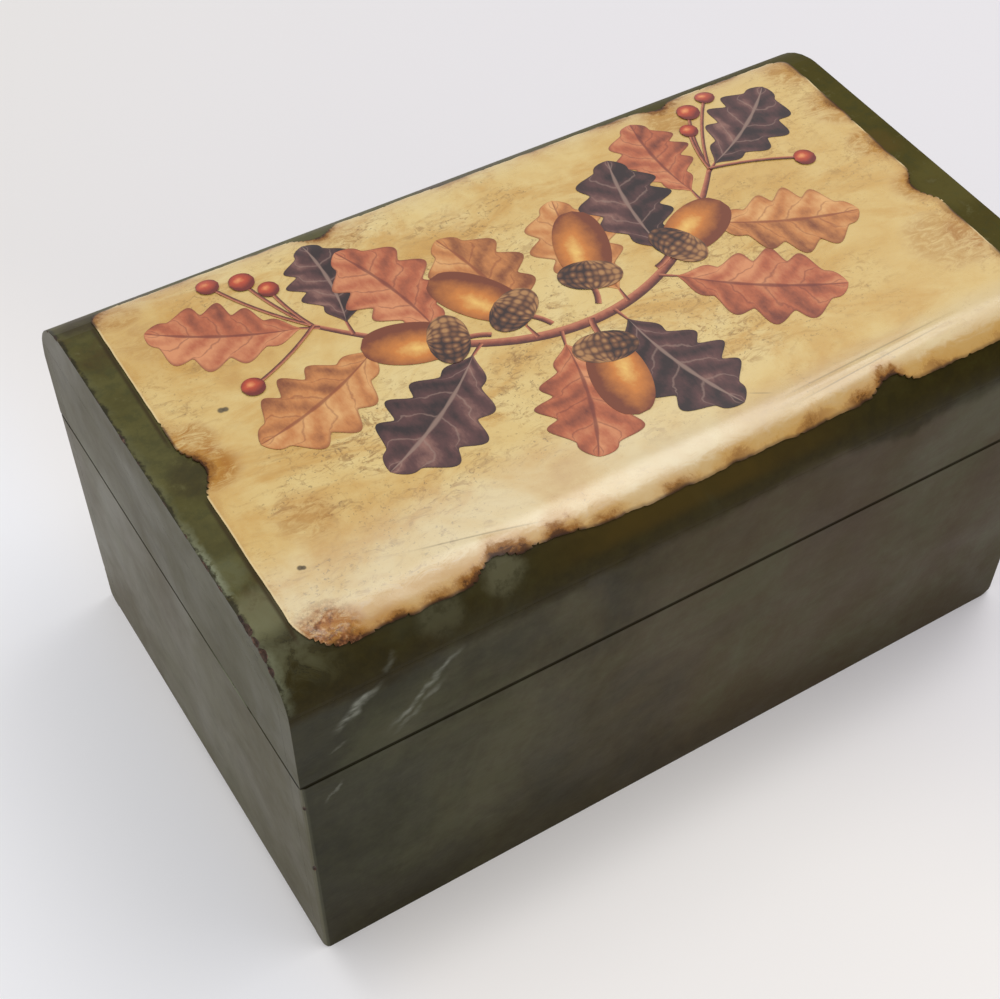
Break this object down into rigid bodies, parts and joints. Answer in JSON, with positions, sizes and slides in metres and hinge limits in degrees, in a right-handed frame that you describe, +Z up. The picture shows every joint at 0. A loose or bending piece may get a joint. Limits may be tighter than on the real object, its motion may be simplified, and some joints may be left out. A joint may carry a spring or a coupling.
{
  "type": "hinged keepsake box",
  "caption": "Rectangular wooden keepsake box with a deep hinged lid, rounded over to the front and back and covered by a torn-edged decorative paper print.",
  "frame": {"origin": "middle of the underside, where the box rests", "axes": "+X along the front to the viewer's right, +Y from the front to the back, +Z up"},
  "size_m": [0.2, 0.121, 0.1044],
  "materials": {
    "paint": "satin olive paint with darker wax over solid wood",
    "plywood": "sealed plywood",
    "paper": "aged parchment print under gloss varnish",
    "brass": "aged satin brass"
  },
  "bodies": {
    "base": {"base_front_board": "paint", "base_back_board": "paint", "base_left_board": "paint", "base_right_board": "paint", "base_bottom_panel": "plywood", "left_hinge_base_leaf": "brass", "left_hinge_pin": "brass", "left_hinge_base_screw_1": "brass", "left_hinge_base_screw_2": "brass", "right_hinge_base_leaf": "brass", "right_hinge_pin": "brass", "right_hinge_base_screw_1": "brass", "right_hinge_base_screw_2": "brass"},
    "lid": {"lid_front_rail": "paint", "lid_back_rail": "paint", "lid_left_rail": "paint", "lid_right_rail": "paint", "lid_top_board": "paint", "lid_paper_print": "paper", "left_hinge_lid_leaf": "brass", "left_hinge_lid_screw_1": "brass", "left_hinge_lid_screw_2": "brass", "right_hinge_lid_leaf": "brass", "right_hinge_lid_screw_1": "brass", "right_hinge_lid_screw_2": "brass"}
  },
  "joints": [
    {"name": "lid_hinge", "type": "hinge", "parent": "base", "child": "lid", "pos_m": [0, 0.0594, 0.068], "axis": [-1, 0, 0], "range_deg": [0, 110]}
  ]
}
